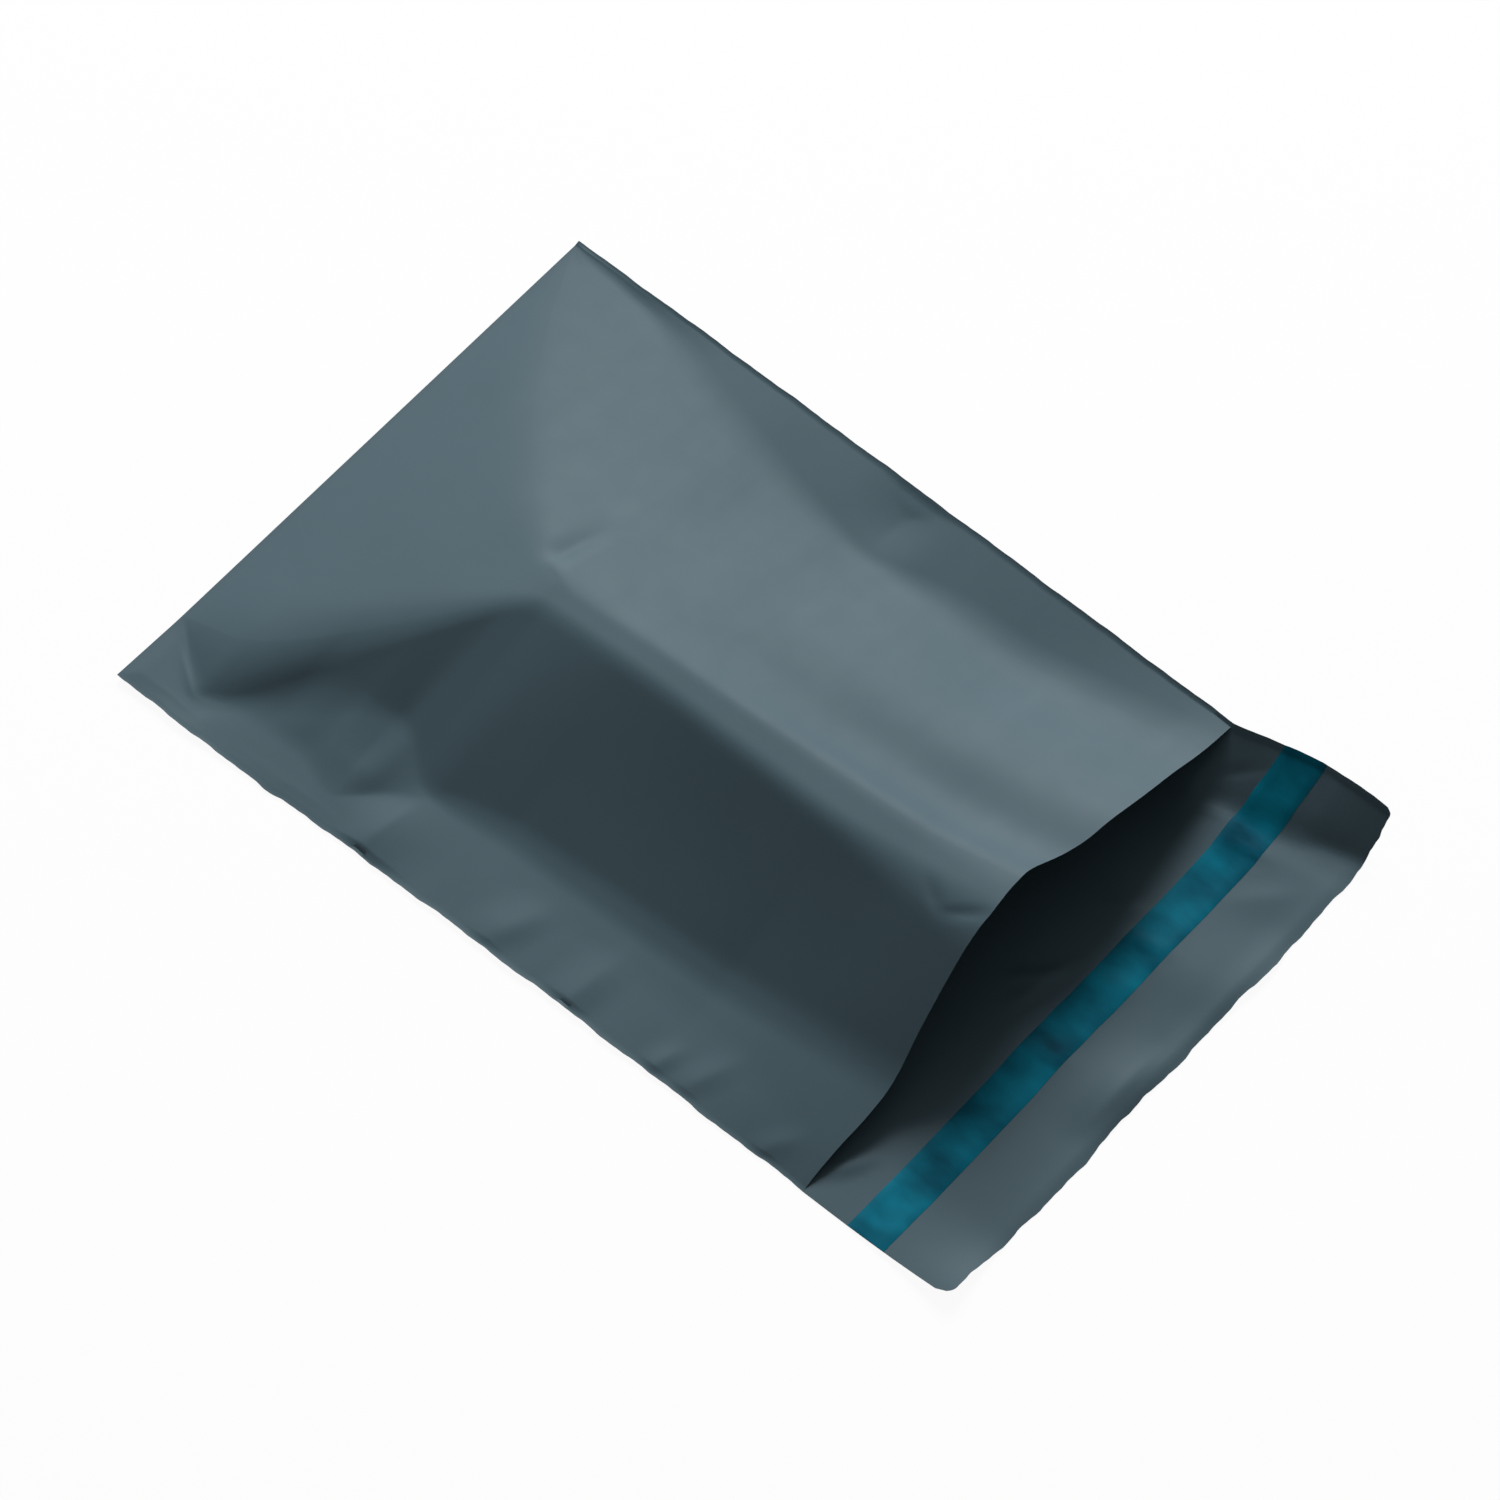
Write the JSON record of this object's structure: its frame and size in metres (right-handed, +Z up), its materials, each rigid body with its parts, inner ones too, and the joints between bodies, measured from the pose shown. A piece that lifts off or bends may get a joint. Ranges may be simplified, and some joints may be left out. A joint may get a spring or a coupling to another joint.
{
  "type": "poly mailer",
  "caption": "Flat polyethylene mailing bag, folded at the bottom and welded at the sides, with an open mouth and a flap with a lined adhesive strip.",
  "frame": {"origin": "on the surface that the bag lies on, under the middle of the bag's width and of its length with the flap open", "axes": "+X across the bag, +Y from the flap towards the bottom fold, +Z up from the back panel towards the front panel"},
  "size_m": [0.1916, 0.2975, 0.0331],
  "materials": {
    "film": "slate grey polyethylene film, semi-matte, softly creased",
    "adhesive": "hot-melt adhesive, pale and tacky",
    "liner": "thin teal release film with a soft gloss"
  },
  "bodies": {
    "root": {"bag_film": "film", "adhesive_strip": "adhesive", "release_liner": "liner"}
  },
  "joints": []
}
